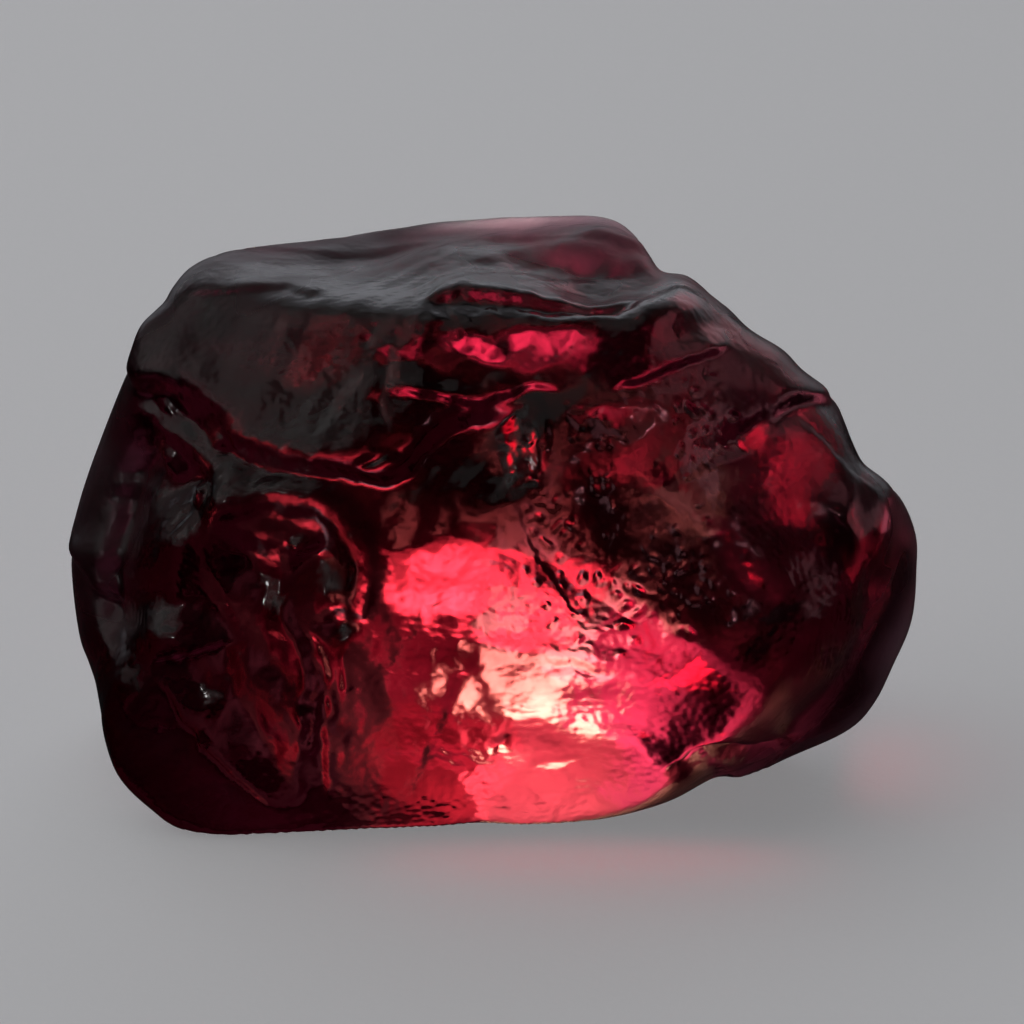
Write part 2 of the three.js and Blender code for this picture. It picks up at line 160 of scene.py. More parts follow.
@dataclass(frozen=True)
class Swell:
    """Crossing waves in random directions: an even, natural unevenness.

    Attributes:
        pitch: Millimetres from crest to crest.
        seed: Chooses the waves.
        squeeze: How much closer the crests lie along each axis.
        waves: How many waves cross.
    """

    pitch: float
    seed: int
    squeeze: tuple[float, ...] = (1.0, 1.0, 1.0)
    waves: int = 18

    def at(self, points: Array) -> Array:
        """Add up the waves at points of a side, or of space.

        Args:
            points: Two or three numbers a row, in millimetres.

        Returns:
            Heights of about -1 to 1.
        """
        rng = np.random.default_rng(self.seed)
        ways = rng.normal(size=(self.waves, 3))
        ways /= np.linalg.norm(ways, axis=1, keepdims=True)
        rates = 2 * math.pi / self.pitch * rng.uniform(0.6, 1.6, self.waves)
        starts = rng.uniform(0, 2 * math.pi, self.waves)
        width = points.shape[1]
        ways = ways[:, :width] * np.array(self.squeeze[:width])
        return np.sin(points @ (ways * rates[:, None]).T + starts).sum(1) / math.sqrt(self.waves)


# ---- Sides and marks -----------------------------------------------------------------------
@dataclass(frozen=True)
class Side:
    """One side of the stone seen square on, with its own right, up and outward directions."""

    azimuth: float
    elevation: float

    @cached_property
    def axes(self) -> Array:
        """Work out the side's own directions.

        Returns:
            Right, up and outward unit vectors, one a row.
        """
        out = direction(self.azimuth, self.elevation)
        a = math.radians(self.azimuth)
        right = np.array([math.cos(a), math.sin(a), 0.0])
        return np.array([right, np.cross(out, right), out])

    @property
    def out(self) -> Array:
        """The outward direction."""
        return self.axes[2]

    def flatten(self, points: Array) -> Array:
        """Return points as right, up and outward distances."""
        return points @ self.axes.T

    def restore(self, flat: Array) -> Array:
        """Return right, up and outward distances as points."""
        return flat @ self.axes


class Mark(Protocol):
    """Anything that raises or sinks the surface of a side."""

    def height(self, at: Array) -> Array:
        """Return the height at points of the side, one a row."""


class Stroke:
    """Something drawn along a smooth line through its points, in their order.

    Attributes:
        points: The line's stations.
        fade: Share of the line's length over which the mark comes in, and goes out again.
        reach: Millimetres past the line where the mark has died away.
    """

    points: tuple[Point, ...]
    fade: float
    reach: float

    def nearest(self, at: Array) -> tuple[Array, Array, Array]:
        """Find the line's nearest place to each point.

        Args:
            at: Points of the side, one a row.

        Returns:
            Which points lie near enough to matter, and for those their distance from the
            line, positive on its left, and the mark's strength there, which fades to 0 at
            the line's ends.
        """
        line = smooth_line(np.array(self.points, float))
        low, high = line.min(0) - self.reach, line.max(0) + self.reach
        near = np.flatnonzero(((at > low) & (at < high)).all(1))
        place = at[near]
        steps = np.diff(line, axis=0)
        spans = np.hypot(steps[:, 0], steps[:, 1])
        walked = np.concatenate([[0.0], np.cumsum(spans)])
        best = np.full(len(place), np.inf)
        sign = np.ones(len(place))
        share = np.zeros(len(place))
        for start, step, span, before in zip(line, steps, spans, walked):
            way = step / span
            offset = place - start
            along = np.clip(offset @ way, 0, span)
            gap = offset - along[:, None] * way
            distance = np.hypot(gap[:, 0], gap[:, 1])
            closer = distance < best
            best[closer] = distance[closer]
            sign[closer] = np.sign(way[0] * offset[closer, 1] - way[1] * offset[closer, 0])
            share[closer] = (before + along[closer]) / walked[-1]
        return near, best * sign, ease(np.minimum(share, 1 - share) / self.fade)


@dataclass(frozen=True)
class Ledge(Stroke):
    """A step: the left of the line, the upper side of a level one, stands proud of its right.

    Attributes:
        high: Rise on the left.
        high_reach: Distance over which the rise dies away.
        low: Drop on the right.
        low_reach: Distance over which the drop dies away.
        edge: Half width of the step itself.
    """

    points: tuple[Point, ...]
    high: float
    high_reach: float
    low: float
    low_reach: float
    edge: float
    fade: float = 0.15

    @property
    def reach(self) -> float:
        """Millimetres past the line where the mark has died away."""
        return 7 * max(self.high_reach if self.high else 0.0, self.low_reach)

    def height(self, at: Array) -> Array:
        """Raise the left of the line and sink its right.

        Args:
            at: Points of the side, one a row.

        Returns:
            The height at each point.
        """
        height = np.zeros(len(at))
        near, distance, fade = self.nearest(at)
        upper = 0.5 * (1 + np.tanh(distance / self.edge))
        lift = upper * self.high * np.exp(-np.abs(distance) / self.high_reach)
        drop = (1 - upper) * self.low * np.exp(-np.abs(distance) / self.low_reach)
        height[near] = fade * (lift - drop)
        return height


@dataclass(frozen=True)
class Ridge(Stroke):
    """A ridge, or a groove if its rise is negative.

    Attributes:
        rise: Height of its top.
        width: Distance from the line at which it has come down to about a third.
        crown: Shape of its top: 0.5 is sharp, 1 is round and more is flat.
    """

    points: tuple[Point, ...]
    rise: float
    width: float
    fade: float = 0.15
    crown: float = 1.0

    @property
    def reach(self) -> float:
        """Millimetres past the line where the mark has died away."""
        return 3.5 * self.width

    def height(self, at: Array) -> Array:
        """Raise the ridge.

        Args:
            at: Points of the side, one a row.

        Returns:
            The height at each point.
        """
        height = np.zeros(len(at))
        near, distance, fade = self.nearest(at)
        fall = np.abs(distance / self.width) ** (2 * self.crown)
        height[near] = fade * self.rise * np.exp(-fall)
        return height


@dataclass(frozen=True)
class Lump:
    """A lump, or a hollow if its rise is negative.

    Attributes:
        middle: Its middle on the side.
        long: Half its length, where it has come down to about a third.
        wide: Half its width, in the same way.
        rise: Height of its top.
        turn: Degrees that its length is turned from level, counter-clockwise.
    """

    middle: Point
    long: float
    wide: float
    rise: float
    turn: float = 0.0

    def height(self, at: Array) -> Array:
        """Raise the lump.

        Args:
            at: Points of the side, one a row.

        Returns:
            The height at each point.
        """
        c, s = math.cos(math.radians(self.turn)), math.sin(math.radians(self.turn))
        u, v = (at - np.array(self.middle)).T
        a, b = (u * c + v * s) / self.long, (v * c - u * s) / self.wide
        return self.rise * np.exp(-(a * a + b * b))


@dataclass(frozen=True)
class Ripples:
    """Small uneven waves in an oval patch that dies away at its rim.

    Attributes:
        middle, long, wide, rise, turn: The patch, as a lump's.
        pitch, seed, squeeze: The waves, as a swell's.
    """

    middle: Point
    long: float
    wide: float
    rise: float
    pitch: float
    seed: int
    squeeze: Point = (1.0, 1.0)
    turn: float = 0.0

    def height(self, at: Array) -> Array:
        """Return the height at points of the side, one a row."""
        patch = Lump(self.middle, self.long, self.wide, self.rise, self.turn).height(at)
        return patch * Swell(self.pitch, self.seed, self.squeeze).at(at)


@dataclass(frozen=True)
class Pits:
    """Small round etch pits scattered over an oval patch, thickest at its middle.

    Attributes:
        middle: The patch's middle on the side.
        long: Half the patch's length, within which most of the pits lie.
        wide: Half its width, in the same way.
        count: How many pits there are.
        smallest: The smallest pit's radius.
        largest: The largest pit's radius.
        seed: Chooses the pits.
        depth: Each pit's depth as a share of its radius.
    """

    middle: Point
    long: float
    wide: float
    count: int
    smallest: float
    largest: float
    seed: int
    depth: float = 0.28

    def height(self, at: Array) -> Array:
        """Sink the pits.

        Args:
            at: Points of the side, one a row.

        Returns:
            The height at each point.
        """
        rng = np.random.default_rng(self.seed)
        scatter = rng.normal(size=(self.count, 2)) * (self.long / 2, self.wide / 2)
        middles = np.array(self.middle) + scatter
        radii = rng.uniform(self.smallest, self.largest, self.count)
        height = np.zeros(len(at))
        for middle, radius in zip(middles, radii):
            near = np.flatnonzero((np.abs(at - middle) < 3 * radius).all(1))
            share = ((at[near] - middle) ** 2).sum(1) / radius**2
            height[near] -= self.depth * radius * np.exp(-share)
        return height


@dataclass(frozen=True)
class Relief:
    """The marks of one side, in named groups.

    Attributes:
        side: The side that they are on.
        groups: The marks, by the part of the side that they make.
        wander: Millimetres that the lines stray to and fro, which keeps them ragged.
    """

    side: Side
    groups: dict[str, tuple[Mark, ...]]
    wander: float = 0.0

    @staticmethod
    def stray(at: Array, seed: int) -> Array:
        """Return how far a line strays one way, in broad bends with small ones on them."""
        return Swell(1.3, seed).at(at) + 0.35 * Swell(0.5, seed + 5).at(at)

    def height(self, at: Array) -> Array:
        """Add up all the marks.

        Args:
            at: Points of the side, one a row.

        Returns:
            The height at each point.
        """
        if self.wander:
            at = at + self.wander * np.stack([self.stray(at, seed) for seed in (1, 2)], 1)
        return sum(mark.height(at) for group in self.groups.values() for mark in group)


# ---- The stone's forms ---------------------------------------------------------------------
WORN_FACES: dict[str, tuple[float, float, float]] = {  # azimuth, elevation, distance
    "base": (0, -90, 7.1),
    "top_slab": (-150, 83, 6.2),
    "top_front": (8, 50, 6.7),
    "top_right": (60, 46, 7.7),
    "left_shoulder": (-36, 42, 7.1),
    "left_end": (-92, 8, 9.6),
    "left_front": (-60, 6, 8.3),
    "left_low": (-70, -45, 8.6),
    "front_left": (-22, -4, 6.0),
    "front_window": (0, -18, 5.15),
    "front_middle": (0, 20, 6.4),
    "front_right": (38, 20, 6.25),
    "front_right_low": (62, -26, 7.35),
    "right_upper": (62, 28, 8.3),
    "right_end": (88, 0, 9.7),
    "right_low": (62, -38, 8.25),
    "back": (180, 4, 5.7),
    "back_right": (142, 8, 7.4),
    "back_left": (-142, 6, 7.8),
    "back_top": (172, 62, 7.2),
    "back_low": (178, -52, 9.2),
    "back_right_low": (120, -35, 8.3),
    "back_left_top": (-125, 48, 8.0),
    "back_right_top": (120, 50, 8.0),
}

OUTLINE: tuple[Point, ...] = (  # from in front, clockwise from the notch at the upper left
    (-7.65, 5.25), (-7.45, 5.6), (-7.0, 6.1), (-6.05, 6.5), (-3.85, 6.8), (-2.3, 7.05),
    (-1.05, 7.25), (1.1, 7.35), (2.6, 7.35), (3.3, 6.95), (3.65, 6.4), (3.95, 6.0),
    (4.6, 5.9), (5.35, 5.25), (5.95, 4.65), (6.75, 4.15), (7.2, 3.7), (7.75, 3.25),
    (8.1, 2.75), (8.4, 2.0), (8.65, 1.5), (9.1, 1.15), (9.6, 0.65), (9.95, -0.15),
    (10.0, -0.9), (9.9, -2.2), (9.45, -3.3), (9.0, -4.2), (8.35, -4.85), (6.85, -5.55),
    (5.95, -6.0), (5.5, -5.95), (5.15, -6.0), (4.15, -6.45), (3.0, -6.75), (1.9, -6.95),
    (0.8, -7.05), (-0.35, -6.95), (-1.1, -7.1), (-1.85, -7.25), (-3.9, -7.35), (-6.15, -7.3),
    (-7.35, -7.05), (-8.15, -6.5), (-8.75, -5.85), (-9.05, -5.15), (-9.3, -3.95),
    (-9.55, -3.2), (-9.8, -2.55), (-10.0, -1.1), (-10.0, -0.3), (-9.75, 0.75), (-9.2, 2.2),
    (-8.6, 3.65), (-8.25, 4.6), (-7.85, 5.05),
)

SHOULDER_CREST = (
    (-8.35, 3.5), (-7.7, 3.3), (-7.1, 3.1), (-6.4, 2.55), (-5.8, 1.8), (-4.55, 1.5),
    (-3.5, 1.25), (-2.55, 1.1), (-1.9, 1.45), (-1.5, 2.05), (-1.0, 2.5), (-0.25, 2.8),
    (0.85, 3.0),
)
WINDOW_BROW = (
    (-3.35, -0.2), (-2.2, -0.15), (-0.55, -0.3), (1.1, -0.7), (2.25, -1.5), (3.4, -2.2),
    (4.6, -2.8),
)
WINDOW_LEFT = (
    (-2.1, -6.7), (-1.85, -5.95), (-1.4, -5.0), (-0.9, -3.8), (-0.35, -2.75), (-0.1, -2.1),
)
RIGHT_CREST = (
    (1.55, 1.75), (2.5, 1.5), (3.55, 1.3), (4.45, 0.45), (5.35, -0.45), (6.3, -1.5),
    (7.15, -2.65),
)
CURL = (
    (-7.0, 0.05), (-6.05, 0.55), (-5.0, 0.65), (-4.25, 0.5), (-3.55, 0.1), (-3.1, -0.5),
    (-2.95, -1.2), (-3.2, -1.75), (-3.9, -1.95),
)
CHIPPED_EDGE = (
    (-4.8, -6.65), (-4.35, -5.7), (-4.1, -4.75), (-4.15, -3.8), (-4.3, -3.0), (-4.55, -2.2),
    (-4.75, -1.5),
)
SLAB_FOOT = (
    (-2.6, 3.2), (-1.9, 3.1), (-1.05, 3.0), (-0.3, 3.0), (0.4, 3.15), (0.9, 3.35), (1.7, 3.3),
)
LEFT_RIM = (
    (-8.65, -3.3), (-9.05, -2.3), (-9.15, -1.1), (-9.0, -0.05), (-8.7, 1.2), (-8.05, 2.5),
)

FRONT = Side(0, 22)
FRONT_RELIEF = Relief(
    FRONT,
    {
        "shoulder": (
            Ledge(SHOULDER_CREST, 0.18, 1.2, 0.70, 1.2, 0.26, 0.10),
            Ridge(SHOULDER_CREST[6:], 0.10, 0.15, 0.15),
            Ledge(
                ((-2.75, 1.5), (-2.6, 2.2), (-2.75, 2.9), (-2.55, 3.5), (-2.6, 4.15)),
                0, 1, 0.16, 0.9, 0.10,
            ),
            Lump((-0.1, 1.5), 1.1, 0.75, -0.4),
            Lump((-2.75, 1.5), 0.3, 0.12, -0.15, 20),
            Lump((2.5, 2.4), 0.5, 0.3, -0.15),
            Lump((1.1, 2.05), 0.15, 0.6, 0.12),
        ),
        "window": (
            Ridge(WINDOW_BROW, 0.09, 0.8, 0.3, 0.5),
            Ledge(WINDOW_LEFT, 0.05, 0.9, 0.05, 1.0, 0.20, 0.3),
            Ridge(WINDOW_LEFT, -0.012, 0.14, 0.3),
            Lump((-0.5, -2.15), 0.6, 0.6, -0.10, 20),
            Ridge(((1.0, -3.25), (1.7, -3.15), (2.4, -3.35), (3.0, -3.3)), 0.035, 0.14, 0.3),
            Ridge(((0.0, -4.05), (0.7, -4.2), (1.3, -4.15)), 0.035, 0.12, 0.3),
            Ridge(((-0.2, -5.2), (0.1, -5.0), (0.5, -5.05)), 0.04, 0.14, 0.3),
            Ridge(((0.9, -5.4), (1.5, -5.45), (2.1, -5.3)), 0.03, 0.12, 0.3),
            Ridge(((-3.1, -1.6), (-3.4, -2.8), (-3.0, -4.2), (-3.5, -5.6)), 0.05, 0.70, 0.4),
            Ripples((1.5, -3.5), 3.4, 2.6, 0.022, 1.5, 3, (0.45, 1.5)),
            Pits((1.9, -2.3), 1.4, 1.2, 60, 0.04, 0.07, 11, 0.16),
        ),
        "right_flank": (
            Ledge(RIGHT_CREST, 0.14, 1.4, 0.16, 1.2, 0.40, 0.3),
            Ledge(
                ((3.9, -5.8), (4.8, -5.1), (6.0, -5.05), (7.15, -4.85)),
                0.2, 0.9, 0.35, 0.6, 0.07, 0.2,
            ),
            Ledge(
                ((8.6, -2.65), (8.65, -0.75), (8.5, 0.65), (8.25, 1.8)),
                0, 1, 0.22, 0.8, 0.30, 0.3,
            ),
            Lump((9.35, -0.2), 0.75, 1.4, 0.2),
            Lump((5.65, 2.05), 0.25, 1.2, -0.15, -62),
            Lump((4.6, 4.5), 0.8, 0.4, -0.15, 20),
            Pits((3.65, -1.35), 2.2, 1.3, 90, 0.05, 0.10, 12, 0.45),
            Pits((4.85, 2.15), 1.0, 1.8, 40, 0.05, 0.10, 13, 0.45),
            Pits((0.96, 1.0), 0.25, 1.8, 26, 0.05, 0.10, 17, 0.45),
            Pits((1.9, 2.5), 0.3, 0.8, 14, 0.05, 0.10, 18, 0.45),
            Pits((2.6, 1.6), 0.3, 1.6, 22, 0.05, 0.10, 19, 0.45),
            Pits((1.5, 0.05), 0.5, 0.9, 18, 0.05, 0.10, 20, 0.45),
        ),
        "top_steps": (
            Ledge(
                ((-7.9, 5.1), (-7.0, 5.45), (-5.9, 5.5), (-4.55, 5.4), (-3.6, 5.35)),
                0.07, 0.8, 0.07, 0.6, 0.05,
            ),
            Ledge(
                ((-1.75, 5.05), (-0.35, 5.1), (0.9, 5.25), (2.5, 5.5), (3.5, 5.7)),
                0.18, 0.9, 0.20, 0.7, 0.07,
            ),
            Ledge(
                ((2.6, 3.2), (3.4, 3.4), (4.1, 3.65), (4.8, 3.95), (5.6, 4.3)),
                0.15, 0.9, 0.15, 0.7, 0.10, 0.2,
            ),
            Ledge(SLAB_FOOT, 0.12, 0.5, 0.14, 0.5, 0.09),
            Ledge(
                ((-2.5, 3.9), (-1.0, 4.05), (0.4, 4.15), (2.0, 4.4), (3.2, 4.8)),
                0.55, 1.5, 0.75, 1.4, 0.85, 0.3,
            ),
            Ridge(
                ((-3.7, 5.35), (-2.2, 5.8), (-0.55, 6.2), (0.85, 6.65), (2.25, 7.05)),
                0.10, 0.38, 0.2, 1.5,
            ),
            Lump((2.2, 5.85), 1.6, 0.85, -0.8, 10),
            Ripples((-1.0, 6.0), 2.4, 0.5, 0.008, 1.0, 4, (1.0, 1.0), 18),
            Ripples((0.2, 4.2), 2.4, 1.1, 0.03, 0.9, 5),
            Pits((-1.6, 5.2), 1.6, 1.2, 50, 0.05, 0.12, 15),
        ),
        "left_flank": (
            Ledge(LEFT_RIM, 0.05, 0.8, 0.50, 0.9, 0.14, 0.2),
            Lump((-7.55, 1.05), 0.75, 0.95, -0.65, 10),
            Lump((-7.25, 0.75), 0.22, 0.3, 0.3, 10),
            Lump((-8.0, 1.5), 0.15, 0.4, 0.22, 20),
            Ridge(((-8.05, 2.85), (-7.25, 2.95), (-6.55, 2.4), (-6.35, 1.85)), 0.2, 0.25),
            Ledge(
                ((-8.05, -3.15), (-7.45, -4.15), (-6.75, -5.2), (-5.95, -6.05), (-4.8, -6.75)),
                0.12, 1.0, 0.30, 1.1, 0.12, 0.2,
            ),
            Ledge(((-8.1, -3.2), (-6.9, -2.9), (-5.95, -2.65)), 0.15, 0.6, 0.2, 0.8, 0.08, 0.2),
            Lump((-5.45, -5.55), 0.7, 0.9, -0.3),
            Lump((-6.85, -5.05), 0.16, 0.16, 0.2),
            Lump((-8.75, -4.95), 0.14, 0.25, 0.15, -60),
        ),
        "curl_and_chips": (
            Ridge(CURL, 0.22, 0.36, 0.12, 1.3),
            Lump((-4.15, -0.9), 0.55, 0.48, -0.45),
            Lump((-4.45, -0.45), 0.25, 0.18, 0.3),
            Lump((-5.7, -0.75), 0.75, 0.5, -0.25),
            Lump((-3.65, -2.3), 0.35, 0.3, -0.3),
            Ledge(CHIPPED_EDGE, 0.12, 0.9, 0.12, 1.0, 0.12, 0.12),
            Ridge(((-3.5, -2.85), (-3.4, -3.85)), 0.06, 0.12),
            Ripples((-4.1, -4.6), 0.5, 1.8, 0.08, 0.40, 6, (1.0, 0.5)),
            Ripples((-6.3, -2.6), 2.4, 3.6, 0.15, 1.2, 8, (1.0, 0.7)),
        ),
        "etching": (
            Ripples((0.0, 0.0), 12.0, 9.0, 0.012, 1.1, 7),
            Pits((0.0, 0.5), 9.0, 6.5, 260, 0.04, 0.08, 16, 0.12),
        ),
    },
    wander=0.05,
)
BACK_RELIEF = Relief(
    Side(180, 18),
    {
        "steps": (
            Ledge(
                ((-8.0, 2.3), (-5.0, 3.4), (-2.0, 3.0), (1.0, 3.4), (3.5, 4.2), (6.0, 3.6)),
                0.25, 1.0, 0.35, 0.9, 0.14, 0.12,
            ),
            Ledge(
                ((-8.5, -3.2), (-6.5, -2.4), (-4.6, -3.2), (-3.6, -4.6)),
                0.25, 1.0, 0.40, 1.4, 0.22, 0.3,
            ),
            Ledge(
                ((4.2, -4.8), (5.4, -3.2), (7.0, -2.6), (8.5, -3.0)),
                0.25, 1.0, 0.40, 1.4, 0.22, 0.3,
            ),
            Ledge(
                ((2.2, 4.8), (2.7, 3.2), (2.2, 1.6), (2.8, 0.2)),
                0.20, 1.2, 0.30, 1.4, 0.30, 0.35,
            ),
        ),
        "lumps": (
            Lump((-4.6, 0.4), 1.4, 0.9, -0.5, 20),
            Lump((5.4, 0.6), 1.1, 0.8, -0.45, -20),
            Lump((-0.4, 3.9), 0.9, 0.5, 0.35),
        ),
    },
)
LEFT_RELIEF = Relief(
    Side(-90, 12),
    {
        "steps": (
            Ledge(
                ((-4.5, 2.2), (-2.0, 2.9), (0.0, 2.0), (2.0, 2.4), (3.6, 1.7)),
                0.08, 1.0, 0.22, 1.2, 0.18, 0.3,
            ),
            Ledge(
                ((-3.5, -3.6), (-1.0, -2.8), (1.0, -3.2), (2.4, -2.8)),
                0.08, 0.9, 0.22, 1.1, 0.16, 0.3,
            ),
        ),
        "lumps": (Lump((0.8, -0.8), 1.2, 1.6, -0.35, 15),),
    },
)
RIGHT_RELIEF = Relief(
    Side(90, 12),
    {
        "steps": (
            Ledge(
                ((-2.2, 1.4), (-1.0, 2.1), (0.8, 1.5), (3.0, 1.9)),
                0.10, 1.0, 0.3, 1.1, 0.16, 0.3,
            ),
        ),
        "lumps": (Lump((1.2, -1.2), 1.2, 1.0, -0.4), Lump((-1.6, -0.8), 0.7, 0.9, 0.3)),
    },
)
TOP_RELIEF = Relief(
    Side(0, 90),
    {
        "steps": (
            Ledge(
                ((-6.0, 3.0), (-3.5, 2.2), (-0.5, 2.9), (2.5, 2.4), (5.0, 3.2)),
                0.05, 0.8, 0.06, 0.8, 0.2,
            ),
        ),
        "lumps": (
            Lump((-4.0, 1.0), 2.2, 1.2, -0.10, 10),
            Lump((0.8, 1.6), 1.6, 0.7, 0.08, 20),
            Ripples((0.0, 2.0), 7.0, 3.0, 0.03, 1.6, 21),
        ),
    },
)


# ---- Finishes ------------------------------------------------------------------------------
@dataclass(frozen=True)
class WornRuby:
    """Ruby rough, which is red corundum, etched in the ground and then worn by water.

    To the eye it is clear and so deep a red that it is nearly black where it is thick, glossy
    in front and frosted behind, with a soft uneven skin that breaks up what shows through it.
    """

    index: float = 1.76
    sheen: float = 0.32  # the worn skin mirrors less than a cut face
    loss: tuple[float, float, float] = (0.30, 0.63, 0.50)  # of red, green and blue, per mm
    gloss: float = 0.14  # roughness of the worn front
    frost: float = 0.45  # roughness of the etched back
    frost_start: float = -2.5  # mm from front to back, where the gloss begins to go
    frost_full: float = 3.0  # mm, where all of it has gone
    patch_pitch: float = 2.5  # mm between duller patches
    etch_pitch: float = 0.18  # mm between the swells of the etched skin
    etch_depth: float = 0.012  # mm

    def material(self) -> bpy.types.Material:
        """Make the stone's material.

        Returns:
            Plain transmission, index and absorption, with roughness and bump from its nodes.
        """
        material = bpy.data.materials.new("worn_ruby")
        material.use_nodes = True
        tree = material.node_tree
        shader = tree.nodes["Principled BSDF"]
        place = add_node(tree, "ShaderNodeTexCoord").outputs["Object"]
        apart = add_node(tree, "ShaderNodeSeparateXYZ", {0: place})
        # The back was never rubbed as smooth, and so it blurs what is seen through the stone.
        frost = add_node(
            tree, "ShaderNodeMapRange",
            {"Value": apart.outputs["Y"], "From Min": self.frost_start * MM,
             "From Max": self.frost_full * MM, "To Min": self.gloss, "To Max": self.frost},
        )
        patches = add_node(
            tree, "ShaderNodeTexNoise",
            {"Vector": place, "Scale": 1 / (self.patch_pitch * MM), "Detail": 1.0, "Roughness": 0.6},
        )
        # Wear is uneven: some patches are a quarter smoother, others half as rough again.
        uneven = add_node(
            tree, "ShaderNodeMapRange",
            {"Value": patches.outputs["Fac"], "From Min": 0.35, "From Max": 0.7,
             "To Min": 0.75, "To Max": 1.5},
        )
        rough = add_node(
            tree, "ShaderNodeMath", {0: frost.outputs[0], 1: uneven.outputs[0]}, operation="MULTIPLY"
        )
        # The etched skin swells and sinks a little, finer than the mesh can hold.
        skin = add_node(
            tree, "ShaderNodeTexNoise",
            {"Vector": place, "Scale": 1 / (self.etch_pitch * MM), "Detail": 0.0},
        )
        bump = add_node(
            tree, "ShaderNodeBump",
            {"Height": skin.outputs["Fac"], "Strength": 1.0, "Distance": self.etch_depth * MM},
        )
        tree.links.new(rough.outputs[0], shader.inputs["Roughness"])
        tree.links.new(bump.outputs[0], shader.inputs["Normal"])
        shader.inputs["Base Color"].default_value = (1, 1, 1, 1)
        shader.inputs["Transmission Weight"].default_value = 1.0
        shader.inputs["Specular Tint"].default_value = (self.sheen, self.sheen, self.sheen, 1.0)
        shader.inputs["IOR"].default_value = self.index
        # The colour is in the depth: green goes first, then blue, and red gets through.
        density = max(self.loss)
        clear = [1 - loss / density for loss in self.loss]
        volume = add_node(
            tree, "ShaderNodeVolumeAbsorption", {"Color": (*clear, 1.0), "Density": density / MM}
        )
        tree.links.new(volume.outputs[0], tree.nodes["Material Output"].inputs["Volume"])
        return material


@dataclass(frozen=True)
class DrawingPaper:
    """Uncoated drawing paper: to the eye matt and off-white, with a faint tooth of fibres."""

    shade: str = "dcdcde"
    fibre_pitch: float = 0.35  # mm between the bundles of fibres that show
    tooth: float = 0.02  # mm that they stand up

    def material(self) -> bpy.types.Material:
        """Make the paper's material.

        Returns:
            An opaque, nearly matt white with bump from its nodes.
        """
        material = bpy.data.materials.new("drawing_paper")
        material.use_nodes = True
        tree = material.node_tree
        shader = tree.nodes["Principled BSDF"]
        place = add_node(tree, "ShaderNodeTexCoord").outputs["Object"]
        fibres = add_node(
            tree, "ShaderNodeTexNoise",
            {"Vector": place, "Scale": 1 / (self.fibre_pitch * MM), "Detail": 3.0, "Roughness": 0.65},
        )
        tooth = add_node(
            tree, "ShaderNodeBump",
            {"Height": fibres.outputs["Fac"], "Strength": 0.5, "Distance": self.tooth * MM},
        )
        shader.inputs["Base Color"].default_value = linear(self.shade)
        shader.inputs["Roughness"].default_value = 0.9
        shader.inputs["Specular IOR Level"].default_value = 0.2
        tree.links.new(tooth.outputs[0], shader.inputs["Normal"])
        return material


